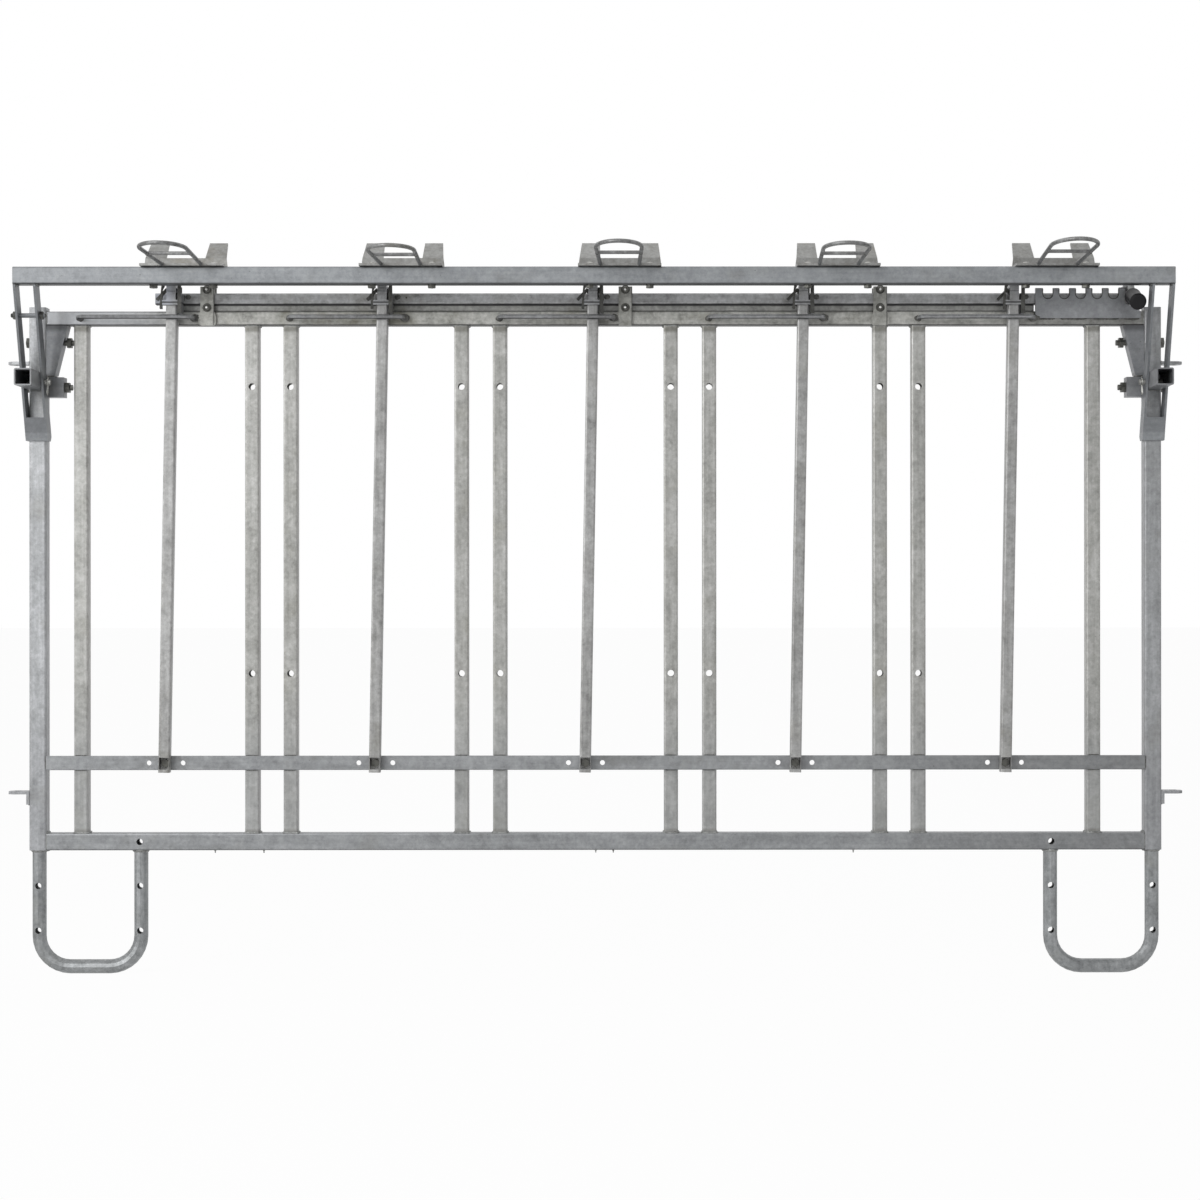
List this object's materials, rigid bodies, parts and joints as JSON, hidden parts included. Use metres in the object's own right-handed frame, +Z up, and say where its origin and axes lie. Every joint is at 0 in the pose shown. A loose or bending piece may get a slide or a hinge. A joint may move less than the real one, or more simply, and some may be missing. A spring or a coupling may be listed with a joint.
{
  "type": "calf headlock",
  "caption": "Galvanised steel feed-front panel with swinging neck yokes, a notched slide bar that sets their gap, and a tilting top bar with hoop holders.",
  "frame": {"origin": "on the ground under the middle of the whole object's box", "axes": "+X along the panel to the viewer's right, +Y from the feed side to the calves' side, +Z up"},
  "size_m": [2.076, 0.3664, 1.2877],
  "materials": {
    "galvanised_steel": "hot-dip galvanised, mottled",
    "galvanised_plate": "hot-dip galvanised, duller",
    "zinc_plated_fastener": "zinc plated",
    "black_plastic": "smooth, satin"
  },
  "bodies": {
    "panel": {"left_post": "galvanised_steel", "right_post": "galvanised_steel", "bottom_rail": "galvanised_steel", "top_rail": "galvanised_steel", "cross_bar": "galvanised_steel", "vertical_01": "galvanised_steel", "vertical_02": "galvanised_steel", "vertical_03": "galvanised_steel", "vertical_04": "galvanised_steel", "vertical_05": "galvanised_steel", "vertical_06": "galvanised_steel", "vertical_07": "galvanised_steel", "vertical_08": "galvanised_steel", "vertical_09": "galvanised_steel", "vertical_10": "galvanised_steel", "left_leg": "galvanised_steel", "right_leg": "galvanised_steel", "guide_rod_1": "galvanised_steel", "guide_rod_2": "galvanised_steel", "guide_rod_3": "galvanised_steel", "guide_rod_4": "galvanised_steel", "guide_rod_5": "galvanised_steel", "slide_guide_1": "galvanised_plate", "slide_guide_2": "galvanised_plate", "slide_guide_3": "galvanised_plate", "notch_plate": "galvanised_plate", "left_socket": "galvanised_steel", "right_socket": "galvanised_steel", "left_bracket": "galvanised_plate", "right_bracket": "galvanised_plate", "left_lower_clamp_bolt": "zinc_plated_fastener", "left_upper_clamp_bolt": "zinc_plated_fastener", "right_lower_clamp_bolt": "zinc_plated_fastener", "right_upper_clamp_bolt": "zinc_plated_fastener", "left_arm_pin": "zinc_plated_fastener", "right_arm_pin": "zinc_plated_fastener"},
    "slide": {"slide_bar": "galvanised_steel"},
    "lever": {"lever_rod": "galvanised_steel", "grip": "black_plastic"},
    "top_bar": {"top_bar": "galvanised_steel", "holder_1": "galvanised_plate", "holder_2": "galvanised_plate", "holder_3": "galvanised_plate", "holder_4": "galvanised_plate", "holder_5": "galvanised_plate"},
    "bolt_1": {"pivot_bolt_1": "zinc_plated_fastener"},
    "yoke_1": {"yoke_1": "galvanised_steel"},
    "pawl_1": {"pawl_1": "galvanised_plate"},
    "bolt_2": {"pivot_bolt_2": "zinc_plated_fastener"},
    "yoke_2": {"yoke_2": "galvanised_steel"},
    "pawl_2": {"pawl_2": "galvanised_plate"},
    "bolt_3": {"pivot_bolt_3": "zinc_plated_fastener"},
    "yoke_3": {"yoke_3": "galvanised_steel"},
    "pawl_3": {"pawl_3": "galvanised_plate"},
    "bolt_4": {"pivot_bolt_4": "zinc_plated_fastener"},
    "yoke_4": {"yoke_4": "galvanised_steel"},
    "pawl_4": {"pawl_4": "galvanised_plate"},
    "bolt_5": {"pivot_bolt_5": "zinc_plated_fastener"},
    "yoke_5": {"yoke_5": "galvanised_steel"},
    "pawl_5": {"pawl_5": "galvanised_plate"}
  },
  "joints": [
    {"name": "slide_bar_slide", "type": "slide", "parent": "panel", "child": "slide", "axis": [1, 0, 0], "range_m": [-0.145, 0]},
    {"name": "lever_lift", "type": "hinge", "parent": "slide", "child": "lever", "pos_m": [0.944, 0.17525, 1.21], "axis": [-1, 0, 0], "range_deg": [-13, 5]},
    {"name": "top_bar_tilt", "type": "hinge", "parent": "panel", "child": "top_bar", "pos_m": [0, 0.11525, 1.043], "axis": [-1, 0, 0], "range_deg": [0, 11]},
    {"name": "yoke_1_set", "type": "hinge", "parent": "panel", "child": "bolt_1", "pos_m": [-0.758, 0.12615, 0.3735], "axis": [0, -1, 0], "range_deg": [0, 10.3]},
    {"name": "yoke_1_swing", "type": "hinge", "parent": "bolt_1", "child": "yoke_1", "pos_m": [-0.758, 0.12615, 0.3735], "axis": [0, -1, 0], "range_deg": [0, 10.6]},
    {"name": "pawl_1_lift", "type": "hinge", "parent": "slide", "child": "pawl_1", "pos_m": [-0.73983, 0.12615, 1.196], "axis": [0, 1, 0], "range_deg": [-43, 3]},
    {"name": "yoke_2_set", "type": "hinge", "parent": "panel", "child": "bolt_2", "pos_m": [-0.388, 0.12615, 0.3735], "axis": [0, -1, 0], "range_deg": [0, 10.3]},
    {"name": "yoke_2_swing", "type": "hinge", "parent": "bolt_2", "child": "yoke_2", "pos_m": [-0.388, 0.12615, 0.3735], "axis": [0, -1, 0], "range_deg": [0, 10.6]},
    {"name": "pawl_2_lift", "type": "hinge", "parent": "slide", "child": "pawl_2", "pos_m": [-0.36983, 0.12615, 1.196], "axis": [0, 1, 0], "range_deg": [-43, 3]},
    {"name": "yoke_3_set", "type": "hinge", "parent": "panel", "child": "bolt_3", "pos_m": [-0.018, 0.12615, 0.3735], "axis": [0, -1, 0], "range_deg": [0, 10.3]},
    {"name": "yoke_3_swing", "type": "hinge", "parent": "bolt_3", "child": "yoke_3", "pos_m": [-0.018, 0.12615, 0.3735], "axis": [0, -1, 0], "range_deg": [0, 10.6]},
    {"name": "pawl_3_lift", "type": "hinge", "parent": "slide", "child": "pawl_3", "pos_m": [0.00017, 0.12615, 1.196], "axis": [0, 1, 0], "range_deg": [-43, 3]},
    {"name": "yoke_4_set", "type": "hinge", "parent": "panel", "child": "bolt_4", "pos_m": [0.352, 0.12615, 0.3735], "axis": [0, -1, 0], "range_deg": [0, 10.3]},
    {"name": "yoke_4_swing", "type": "hinge", "parent": "bolt_4", "child": "yoke_4", "pos_m": [0.352, 0.12615, 0.3735], "axis": [0, -1, 0], "range_deg": [0, 10.6]},
    {"name": "pawl_4_lift", "type": "hinge", "parent": "slide", "child": "pawl_4", "pos_m": [0.37017, 0.12615, 1.196], "axis": [0, 1, 0], "range_deg": [-43, 3]},
    {"name": "yoke_5_set", "type": "hinge", "parent": "panel", "child": "bolt_5", "pos_m": [0.722, 0.12615, 0.3735], "axis": [0, -1, 0], "range_deg": [0, 10.3]},
    {"name": "yoke_5_swing", "type": "hinge", "parent": "bolt_5", "child": "yoke_5", "pos_m": [0.722, 0.12615, 0.3735], "axis": [0, -1, 0], "range_deg": [0, 10.6]},
    {"name": "pawl_5_lift", "type": "hinge", "parent": "slide", "child": "pawl_5", "pos_m": [0.74017, 0.12615, 1.196], "axis": [0, 1, 0], "range_deg": [-43, 3]}
  ],
  "couplings": [
    {"joint": "yoke_1_set", "follows": "slide_bar_slide", "rad_per_m": -1.2362},
    {"joint": "yoke_2_set", "follows": "slide_bar_slide", "rad_per_m": -1.2362},
    {"joint": "yoke_3_set", "follows": "slide_bar_slide", "rad_per_m": -1.2362},
    {"joint": "yoke_4_set", "follows": "slide_bar_slide", "rad_per_m": -1.2362},
    {"joint": "yoke_5_set", "follows": "slide_bar_slide", "rad_per_m": -1.2362}
  ]
}
